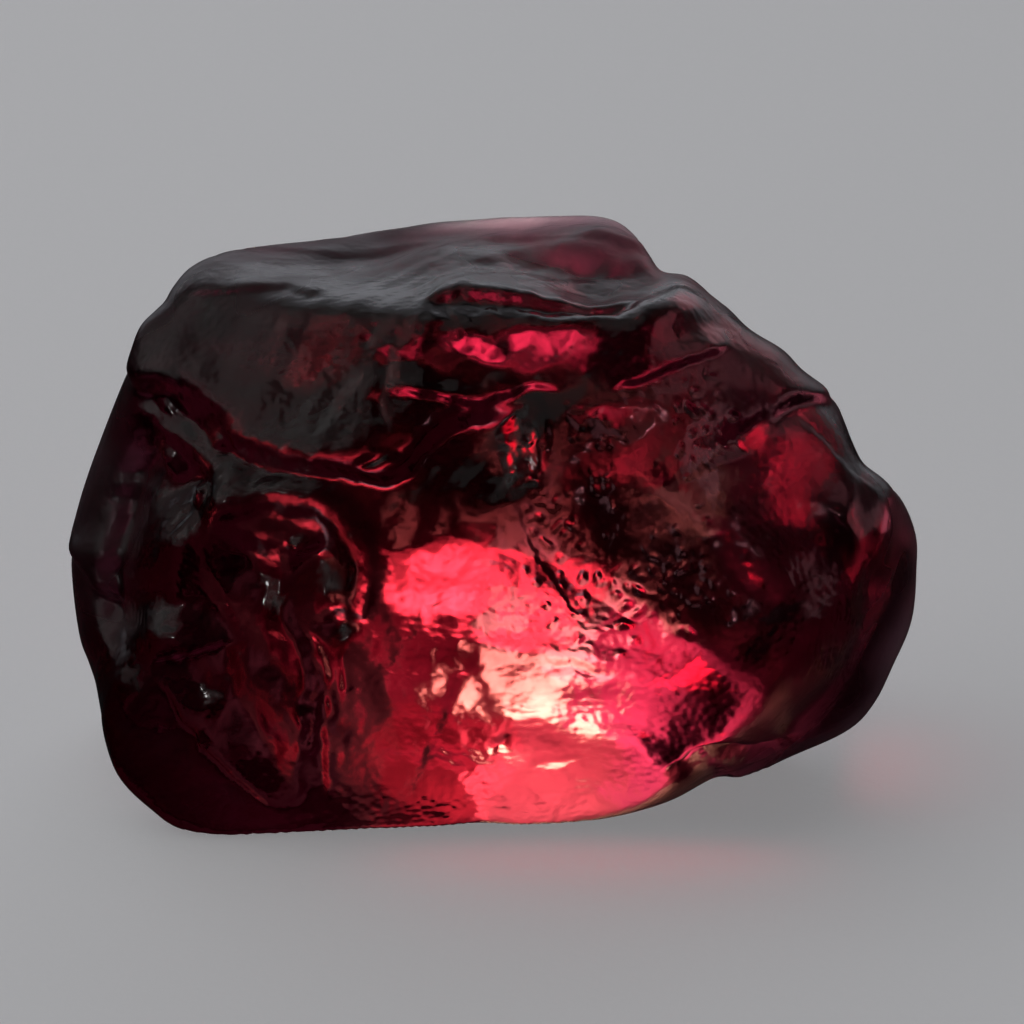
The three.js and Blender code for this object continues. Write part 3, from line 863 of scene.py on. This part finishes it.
# ---- The stone -----------------------------------------------------------------------------
@dataclass
class RubyStone:
    """The one piece: a worn body with every side's relief, fitted to its outline.

    Its shape is worked out in millimetres from the middle of its outline as seen from in
    front. Building it then sets the scale and shift that bring it to its solid's place.
    """

    centre_height: float = 6.3  # mm from the flat that it rests on to the middle of the outline
    sharpness: float = 30.0  # how tightly the worn faces meet
    cuts: int = 98  # along each edge of the icosahedron: 192,080 triangles
    crowding: float = 0.40  # how much the triangles gather towards the front
    sectors: int = 720  # round the outline
    jag_blur: int = 5  # sectors over which the body's reach is evened out
    form_blur: int = 40  # sectors over which the stretch's broad form is taken
    finish: WornRuby = field(default_factory=WornRuby)
    scale: float = field(init=False, default=MM)
    shift: Array = field(init=False, default_factory=lambda: np.zeros(3))

    @cached_property
    def faces(self) -> Array:
        """Each worn face's outward direction over its distance from the middle."""
        return np.array([direction(a, e) / far for a, e, far in WORN_FACES.values()])

    def worn_body(self, towards: Array) -> tuple[Array, Array]:
        """Meet the worn faces with rounded edges.

        Args:
            towards: Unit directions from the middle, one a row.

        Returns:
            The body's points and outward normals.
        """
        reach = np.maximum(towards @ self.faces.T, 0)
        radius = (reach**self.sharpness).sum(1) ** (-1 / self.sharpness)
        normal = (reach ** (self.sharpness - 1)) @ self.faces
        normal /= np.linalg.norm(normal, axis=1, keepdims=True)
        return towards * radius[:, None], normal

    @staticmethod
    def hummocks(towards: Array) -> Array:
        """Make broad low swells all over, from crossing waves with small ripples on them.

        Args:
            towards: Unit directions from the middle, one a row.

        Returns:
            How far each direction's surface is raised, in millimetres.
        """
        x, y, z = (towards * 6).T
        waves = np.sin(1.9 * x + 1.1 * y - 0.7 * z)
        waves += np.sin(-1.3 * x + 2.1 * y + 1.2 * z + 2)
        waves += np.sin(0.8 * x - 1.7 * y + 2.3 * z + 4)
        ripples = np.sin(4.3 * x - 3.1 * y + 2.7 * z) * np.sin(-3.7 * x + 4.4 * y + 3.3 * z + 1)
        return 0.035 * waves + 0.012 * ripples

    def carved(self, towards: Array) -> tuple[Array, Array]:
        """Carve the body with the relief of every side but the front.

        Args:
            towards: Unit directions from the middle, one a row.

        Returns:
            The carved points, and the plain body's normals there.
        """
        point, normal = self.worn_body(towards)
        point = point + towards * self.hummocks(towards)[:, None]
        for relief in (BACK_RELIEF, LEFT_RELIEF, RIGHT_RELIEF, TOP_RELIEF):
            facing = ease((normal @ relief.side.out - 0.25) / 0.40)  # none where it turns aside
            seen = facing > 0
            flat = relief.side.flatten(point[seen])[:, :2]
            point[seen] += normal[seen] * (relief.height(flat) * facing[seen])[:, None]
        return point, normal

    @cached_property
    def turns(self) -> Array:
        """The middle of each sector round the front plane, in radians."""
        return (np.arange(self.sectors) + 0.5) * 2 * math.pi / self.sectors

    @staticmethod
    def softened(table: Array, reach: int) -> Array:
        """Average each sector with its neighbours.

        Args:
            table: A value for each sector.
            reach: How many sectors away a neighbour still counts.

        Returns:
            The evened value of each sector.
        """
        steps = np.arange(-reach, reach + 1)
        weights = np.exp(-((steps / (reach * 0.5)) ** 2))
        weights /= weights.sum()
        return sum(w * np.roll(table, s) for w, s in zip(weights, steps))

    def at_turn(self, table: Array, turn: Array) -> Array:
        """Return a sector table's value at any turn, blended between neighbours."""
        return np.interp(turn, self.turns, table, period=2 * math.pi)

    @cached_property
    def body_reach(self) -> Array:
        """Measure the carved body as seen from in front.

        Returns:
            Its furthest reach in each sector, in millimetres.
        """
        lifts = np.radians(np.arange(-70, 71, 1.0))
        turn, lift = (g.ravel() for g in np.meshgrid(self.turns, lifts))
        flat = np.stack([np.cos(lift) * np.cos(turn), np.cos(lift) * np.sin(turn), np.sin(lift)], 1)
        seen = FRONT.flatten(self.carved(FRONT.restore(flat))[0])
        sector = np.arctan2(seen[:, 1], seen[:, 0]) % (2 * math.pi) / (2 * math.pi) * self.sectors
        reach = np.zeros(self.sectors)
        np.maximum.at(reach, sector.astype(int) % self.sectors, np.hypot(seen[:, 0], seen[:, 1]))
        return self.softened(reach, self.jag_blur)

    @cached_property
    def stretch(self) -> Array:
        """Set the outline against the carved body.

        Returns:
            The outline's reach over the body's, in each sector.
        """
        line = smooth_line(np.array(OUTLINE), closed=True, cuts=8)
        turn = np.arctan2(line[:, 1], line[:, 0]) % (2 * math.pi)
        far = np.hypot(line[:, 0], line[:, 1])
        order = np.argsort(turn)
        outline = np.interp(self.turns, turn[order], far[order], period=2 * math.pi)
        return outline / self.body_reach

    def fitted(self, point: Array) -> tuple[Array, Array]:
        """Stretch points across the front plane to fit the outline, more towards its rim.

        The stretch's broad form reaches well in from the rim, and its small jags stay there.

        Args:
            point: The carved body's points, one a row.

        Returns:
            The moved points, and each one's share of the way from the middle to the rim.
        """
        flat = FRONT.flatten(point)
        turn = np.arctan2(flat[:, 1], flat[:, 0]) % (2 * math.pi)
        far = np.hypot(flat[:, 0], flat[:, 1])
        share = np.clip(far / self.at_turn(self.body_reach, turn), 0, 1)
        broad = self.at_turn(self.softened(self.stretch, self.form_blur), turn)
        fine = self.at_turn(self.stretch, turn)
        flat[:, :2] *= (1 + (broad - 1) * share**4 + (fine - broad) * share**16)[:, None]
        return FRONT.restore(flat), share

    def surface(self, towards: Array) -> Array:
        """Finish the surface: carved, fitted, with the front's relief, and cut flat below.

        Args:
            towards: Unit directions from the middle, one a row.

        Returns:
            The surface's points in millimetres, standing on z = 0.
        """
        point, normal = self.carved(towards)
        point, share = self.fitted(point)
        # The front's relief dies away where the body turns aside, and just inside the rim.
        facing = ease((normal @ FRONT.out + 0.05) / 0.35) * ease((1 - share) / 0.10)
        height = FRONT_RELIEF.height(FRONT.flatten(point)[:, :2])
        point += normal * (height * facing)[:, None]
        # What would reach below the flat is drawn back onto it, towards the middle.
        low = point[:, 2] < -self.centre_height
        point[low] *= (-self.centre_height / point[low, 2])[:, None]
        point[:, 2] += self.centre_height
        point[low, 2] = 0.0
        return point

    def directions(self) -> tuple[Array, Array]:
        """Cut an icosahedron's faces into a fine mesh of directions, gathered to the front.

        Returns:
            Unit directions, and the corners of each triangle.
        """
        golden = (1 + math.sqrt(5)) / 2
        corners = np.array(
            [(-1, golden, 0), (1, golden, 0), (-1, -golden, 0), (1, -golden, 0),
             (0, -1, golden), (0, 1, golden), (0, -1, -golden), (0, 1, -golden),
             (golden, 0, -1), (golden, 0, 1), (-golden, 0, -1), (-golden, 0, 1)], float,
        )
        sides = np.array(
            [(0, 11, 5), (0, 5, 1), (0, 1, 7), (0, 7, 10), (0, 10, 11), (1, 5, 9), (5, 11, 4),
             (11, 10, 2), (10, 7, 6), (7, 1, 8), (3, 9, 4), (3, 4, 2), (3, 2, 6), (3, 6, 8),
             (3, 8, 9), (4, 9, 5), (2, 4, 11), (6, 2, 10), (8, 6, 7), (9, 8, 1)]
        )
        # One side's points are numbered by their steps along two of its edges.
        n = self.cuts
        i, j = (g.ravel() for g in np.meshgrid(np.arange(n + 1), np.arange(n + 1), indexing="ij"))
        inside = i + j <= n
        i, j = i[inside], j[inside]
        number = np.full((n + 2, n + 2), -1)
        number[i, j] = np.arange(len(i))
        weights = np.stack([n - i - j, i, j], 1) / n
        points = np.einsum("pk,fkc->fpc", weights, corners[sides]).reshape(-1, 3)
        upright = i + j < n
        a, b = i[upright], j[upright]
        up = np.stack([number[a, b], number[a + 1, b], number[a, b + 1]], 1)
        turned = i + j < n - 1
        a, b = i[turned], j[turned]
        down = np.stack([number[a + 1, b], number[a + 1, b + 1], number[a, b + 1]], 1)
        one_side = np.vstack([up, down])
        triangles = (one_side[None] + (np.arange(20) * len(i))[:, None, None]).reshape(-1, 3)
        # Neighbouring sides share the points of their edges.
        points /= np.linalg.norm(points, axis=1, keepdims=True)
        _, first, welded = np.unique(points.round(7), axis=0, return_index=True, return_inverse=True)
        towards = points[first] + self.crowding * FRONT.out
        towards /= np.linalg.norm(towards, axis=1, keepdims=True)
        return towards, welded.reshape(-1)[triangles]

    def build(self) -> bpy.types.Object:
        """Build the stone where its solid stands, at its solid's size.

        Returns:
            The stone's object, at the origin with its place in its mesh.
        """
        towards, triangles = self.directions()
        points = self.surface(towards)
        low, high = points.min(0), points.max(0)
        box_low, box_high = (np.array(corner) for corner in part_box(NODE))
        self.scale = (box_high[0] - box_low[0]) / (high[0] - low[0])
        middle = (low + high) / 2 * self.scale
        self.shift = (box_low + box_high) / 2 - middle
        self.shift[2] = box_low[2] - low[2] * self.scale
        points = points * self.scale + self.shift
        mesh = bpy.data.meshes.new("worn_stone")
        mesh.from_pydata(points.tolist(), [], triangles.tolist())
        mesh.shade_smooth()
        mesh.validate()
        stone = bpy.data.objects.new("worn_stone", mesh)
        bpy.context.collection.objects.link(stone)
        log.info("worn_stone: %d triangles", len(triangles))
        return stone

    def place_of(self, point: Place) -> Vector:
        """Return where a point, in millimetres from below the outline's middle, is in the frame."""
        return Vector(np.array(point) * self.scale + self.shift)

    def dress(self, stone: bpy.types.Object) -> None:
        """Give the stone its finish and its place on the frame.

        Args:
            stone: The object that was built.
        """
        stone.data.materials.append(self.finish.material())
        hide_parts(NODE)
        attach(stone, "root")


# ---- Floor, light and camera ---------------------------------------------------------------
@dataclass
class PaperSheet:
    """The pale sheet that the stone rests on."""

    width: float = 3000.0  # mm
    gap: float = 0.02  # mm below the stone
    finish: DrawingPaper = field(default_factory=DrawingPaper)

    def build(self) -> bpy.types.Object:
        """Build the sheet and mark it as the floor.

        Returns:
            The sheet's object.
        """
        half = self.width / 2 * MM
        z = -self.gap * MM
        mesh = bpy.data.meshes.new("paper_sheet")
        corners = [(-half, -half, z), (half, -half, z), (half, half, z), (-half, half, z)]
        mesh.from_pydata(corners, [], [(0, 1, 2, 3)])
        mesh.materials.append(self.finish.material())
        sheet = bpy.data.objects.new("paper_sheet", mesh)
        bpy.context.collection.objects.link(sheet)
        sheet.visible_glossy = False  # its glare would hide the depth of the dark lower faces
        sheet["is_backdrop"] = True
        log.info("paper_sheet: %g mm wide", self.width)
        return sheet


class Seen(Enum):
    """How a light panel itself is seen."""

    SHOWN = "directly, and in the stone"
    HIDDEN = "only in the stone and through it"
    THROUGH = "only through the stone"


class Lit(Enum):
    """What a light panel lights: everything, or the one object of that name."""

    EVERYTHING = ""
    PAPER = "paper_sheet"
    STONE = "worn_stone"


@dataclass(frozen=True)
class Panel:
    """A flat light panel, square if it is shown and otherwise oval.

    Attributes:
        name: Name of its light.
        place: Its middle, in millimetres from the floor below the middle of the stone.
        aim: The point that it faces.
        width: Its width in millimetres.
        height: Its height in millimetres.
        radiance: Its brightness, where 1 is white.
        spread: Degrees over which it shines; less than 180 makes a beam.
        seen: How the panel itself is seen.
        shade: Its colour.
        lit: What it lights.
    """

    name: str
    place: Place
    aim: Place
    width: float
    height: float
    radiance: float
    spread: float = 180.0
    seen: Seen = Seen.SHOWN
    shade: str = "ffffff"
    lit: Lit = Lit.EVERYTHING

    def build(self, stone: RubyStone) -> bpy.types.Object:
        """Build the panel where it stands beside the stone.

        Args:
            stone: The stone, already built, whose place the panel's is measured from.

        Returns:
            The panel's object.
        """
        shown = self.seen is Seen.SHOWN
        light = bpy.data.lights.new(self.name, "AREA")
        light.shape = "RECTANGLE" if shown else "ELLIPSE"
        light.size, light.size_y = self.width * MM, self.height * MM
        cover = 1.0 if shown else math.pi / 4  # share of the rectangle that the shape fills
        light.energy = self.radiance * cover * math.pi * light.size * light.size_y
        light.spread = math.radians(self.spread)
        light.color = linear(self.shade)[:3]
        panel = bpy.data.objects.new(self.name, light)
        bpy.context.collection.objects.link(panel)
        panel.location = stone.place_of(self.place)
        way = stone.place_of(self.aim) - panel.location
        panel.rotation_euler = way.to_track_quat("-Z", "Y").to_euler()
        panel.visible_camera = shown
        if self.seen is Seen.THROUGH:
            self.show_through_only(light)
        if self.lit is not Lit.EVERYTHING:
            lit = bpy.data.collections.new(self.name)
            lit.objects.link(bpy.data.objects[self.lit.value])
            panel.light_linking.receiver_collection = lit
            panel.light_linking.blocker_collection = lit
        log.info("%s: radiance %g", self.name, self.radiance)
        return panel

    @staticmethod
    def show_through_only(light: bpy.types.Light) -> None:
        """Keep the panel's mirror image off the stone's outer skin.

        Args:
            light: The panel's light, which then shines only on a ray that has passed through
                a clear surface.
        """
        light.use_nodes = True
        tree = light.node_tree
        surfaces = add_node(tree, "ShaderNodeLightPath").outputs["Transmission Depth"]
        inside = add_node(tree, "ShaderNodeMath", {0: surfaces, 1: 0.5}, operation="GREATER_THAN")
        tree.links.new(inside.outputs[0], tree.nodes["Emission"].inputs["Strength"])


HEART = (0, 0, 6)  # a point in the middle of the stone
CAST_RED = "ff5060"
CAST_HEIGHT = 1.6  # mm


def cast(
    name: str, place: Place, aim: Place, width: float, strength: float, spread: float
) -> Panel:
    """Describe the red light that the stone throws on the paper at one place.

    Args:
        name: Name of its light.
        place: Its middle.
        aim: The point of the paper that it faces.
        width: Its width.
        strength: Its radiance.
        spread: Degrees over which it shines.

    Returns:
        A low red panel that lights only the paper.
    """
    return Panel(
        name, place, aim, width, CAST_HEIGHT, strength, spread, Seen.HIDDEN, CAST_RED, Lit.PAPER
    )


def torch(
    name: str, place: Place, aim: Place, width: float, height: float, radiance: float, shade: str,
    spread: float = 50,
) -> Panel:
    """Describe one part of the light that shines up through the stone from close behind.

    Args:
        name: Name of its light.
        place: Its middle.
        aim: The point that it faces.
        width: Its width.
        height: Its height.
        radiance: Its brightness.
        shade: Its colour.
        spread: Degrees over which it shines.

    Returns:
        A panel that lights only the stone and shows only through it.
    """
    return Panel(name, place, aim, width, height, radiance, spread, Seen.THROUGH, shade, Lit.STONE)


def gleam(
    name: str, place: Place, width: float, height: float, radiance: float, shade: str
) -> Panel:
    """Describe a gleam on the stone from one side.

    Args:
        name: Name of its light.
        place: Its middle.
        width: Its width.
        height: Its height.
        radiance: Its brightness.
        shade: Its colour.

    Returns:
        A panel facing the middle of the stone that lights only the stone.
    """
    return Panel(name, place, HEART, width, height, radiance, 180, Seen.HIDDEN, shade, Lit.STONE)


ROOM_PANELS = (
    Panel("ceiling", (-60, 60, 260), (0, 0, 0), 260, 260, 0.35),
    Panel("paper_lamp", (-60, 40, 260), (0, 0, 0), 1100, 1100, 0.45, lit=Lit.PAPER),
    Panel("left_wall", (-240, 10, 165), (0, 0, 0), 340, 340, 0.26),
    Panel("left_window", (-245, 0, 145), (0, 0, 0), 200, 200, 0.50),
)
PAPER_PANELS = (
    cast("cast_front", (2.2, -4.5, 1.6), (2.2, -6.0, 0.0), 10.0, 0.45, 160),
    cast("cast_right", (8.7, 0.5, 1.6), (10.8, 0.3, 0.0), 5.0, 0.35, 150),
    Panel(
        "torch_pool", (3.0, 12.0, 8.0), (3.0, 10.5, 0.0), 7.0, 4.0, 1.0, 120,
        Seen.THROUGH, "fff0e0", Lit.PAPER,
    ),
)
# The stone takes out more green than blue, and least red. The strongest panels are tinted
# green, so that enough of it comes through to turn the heart of the glow from pink to a
# yellow-white. Round it, where they are weaker, the stone stays red.
TORCH_PANELS = (
    torch("torch_edge", (-3.4, 7.4, 3.2), (-3.4, -10, 4.8), 2.2, 6.4, 1, "7cff95"),
    torch("torch_low_left", (-1.6, 7.4, 1.1), (-1.6, -10, 2.6), 3.6, 2.6, 1, "fff3b3"),
    torch("torch_low", (1.2, 7.4, 1.1), (1.2, -10, 2.6), 3.8, 2.6, 5.6, "a8ffa5"),
    torch("torch_left_half", (-1.2, 7.4, 3.6), (-1.2, -10, 5.2), 3.2, 3.8, 0.7, "ffffd2"),
    torch("torch_core", (1, 7.3, 3.2), (1, -10, 4.8), 3, 2, 95, "5bff7c"),
    torch("torch_heart", (1.8, 7.3, 4.5), (1.8, -10, 6.1), 2.4, 1.5, 58, "5bff87"),
    torch("torch_right", (3.5, 7.4, 3), (3.5, -10, 4.6), 2.3, 4.4, 4.8, "bfffcc"),
    torch("torch_brow", (-0.5, 7.4, 5.8), (-0.5, -10, 7.4), 4.4, 2, 19, "aeffa3"),
    torch("torch_top", (-0.2, 7.4, 7.2), (-0.2, -10, 8.8), 3.4, 1.2, 24, "3aff93"),
    torch("torch_upper", (0.2, 7.3, 6.5), (0.2, -2.7, 15.1), 4.2, 2.4, 1.6, "fff3e1", 44),
    torch("torch_tip", (4.8, 7, 4), (4.8, -10, 12), 1.8, 2.2, 9, "ffc5b2"),
    torch("torch_left", (-5.3, 7.3, 0.6), (-4.3, -10, 11.4), 2.4, 2.2, 1.2, "71ffa5"),
    torch("torch_front", (0, -160, 70), HEART, 220, 130, 14, "ffffff", 180),  # seen from behind
)
SIDE_PANELS = (
    gleam("glow_right_high", (30.5, 2.7, 31.7), 28, 20, 1.3, "ff9fae"),
    gleam("glow_right", (39.5, 3.4, 11.6), 26, 14, 1.3, "ffb5c2"),
    gleam("glow_right_low", (35.9, 16.7, 1), 14, 10, 2.5, "ff869e"),
    gleam("glow_back_right", (20, 32, 22.3), 28, 12, 0.9, "ff8290"),
    gleam("spark_left", (-150, -80, 40), 8, 8, 70, "ffffff"),
    gleam("spark_right", (130, -70, 80), 8, 8, 50, "ffb1bf"),
)


@dataclass
class Room:
    """Dim room light: nearly dark in front of the stone and bright behind it."""

    front: float = 0.02
    back: float = 0.8
    below: float = 0.02  # share of the light that comes from under the horizon

    def build(self) -> None:
        """Build the room as the scene's world, bright only far behind and above."""
        world = bpy.data.worlds.new("room")
        bpy.context.scene.world = world
        world.use_nodes = True
        tree = world.node_tree
        place = add_node(tree, "ShaderNodeTexCoord").outputs["Generated"]
        apart = add_node(tree, "ShaderNodeSeparateXYZ", {0: place})
        light = add_node(
            tree, "ShaderNodeMapRange",
            {"Value": apart.outputs["Y"], "From Min": 0.45, "From Max": 1.0,
             "To Min": self.front, "To Max": self.back},
            interpolation_type="SMOOTHSTEP",
        )
        above = add_node(
            tree, "ShaderNodeMapRange",
            {"Value": apart.outputs["Z"], "From Min": -0.1, "From Max": 0.08,
             "To Min": self.below, "To Max": 1.0},
            interpolation_type="SMOOTHSTEP",
        )
        both = add_node(
            tree, "ShaderNodeMath", {0: light.outputs[0], 1: above.outputs[0]}, operation="MULTIPLY"
        )
        backdrop = tree.nodes["Background"]
        backdrop.inputs["Color"].default_value = linear("f4f6ff")
        tree.links.new(both.outputs[0], backdrop.inputs["Strength"])
        log.info("room: %g in front, %g behind", self.front, self.back)


@dataclass
class Viewpoint:
    """A long lens looking down on the stone's front, as the outline was laid out."""

    lens: float = 300.0  # mm
    frame_width: float = 23.98  # mm across the picture at the stone
    right: float = 0.42  # mm from the middle of the outline to the middle of the picture
    up: float = 0.35  # mm, in the same way
    nearest: float = 10.0  # mm from the lens that it still shows
    furthest: float = 10000.0  # mm

    def build(self, stone: RubyStone) -> bpy.types.Object:
        """Build the camera and make it the scene's.

        Args:
            stone: The stone, already built, that it looks at.

        Returns:
            The camera's object.
        """
        data = bpy.data.cameras.new("viewpoint")
        data.lens = self.lens
        data.clip_start, data.clip_end = self.nearest * MM, self.furthest * MM
        camera = bpy.data.objects.new("viewpoint", data)
        bpy.context.collection.objects.link(camera)
        right, up, out = (Vector(axis) for axis in FRONT.axes)
        middle = stone.place_of((0, 0, stone.centre_height))
        distance = self.frame_width * self.lens / data.sensor_width
        camera.location = middle + (right * self.right + up * self.up + out * distance) * MM
        camera.rotation_euler = out.to_track_quat("Z", "Y").to_euler()
        bpy.context.scene.camera = camera
        log.info("viewpoint: %.1f mm away", distance)
        return camera


def corners() -> list[list[float]]:
    """Return the shown object's lowest and highest corner as plain lists."""
    return [list(corner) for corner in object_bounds()]


def main() -> None:
    """Build the stone, its floor, its light and the camera."""
    logging.basicConfig(level=logging.INFO, format="%(name)s: %(message)s")
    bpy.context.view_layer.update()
    stone = RubyStone()
    stone.dress(stone.build())
    PaperSheet().build()
    Room().build()
    for panel in ROOM_PANELS + PAPER_PANELS + TORCH_PANELS + SIDE_PANELS:
        panel.build(stone)
    Viewpoint().build(stone)
    view = bpy.context.scene.view_settings
    view.view_transform, view.gamma = "Standard", SHADOW_DEPTH


if __name__ == "__main__":
    main()
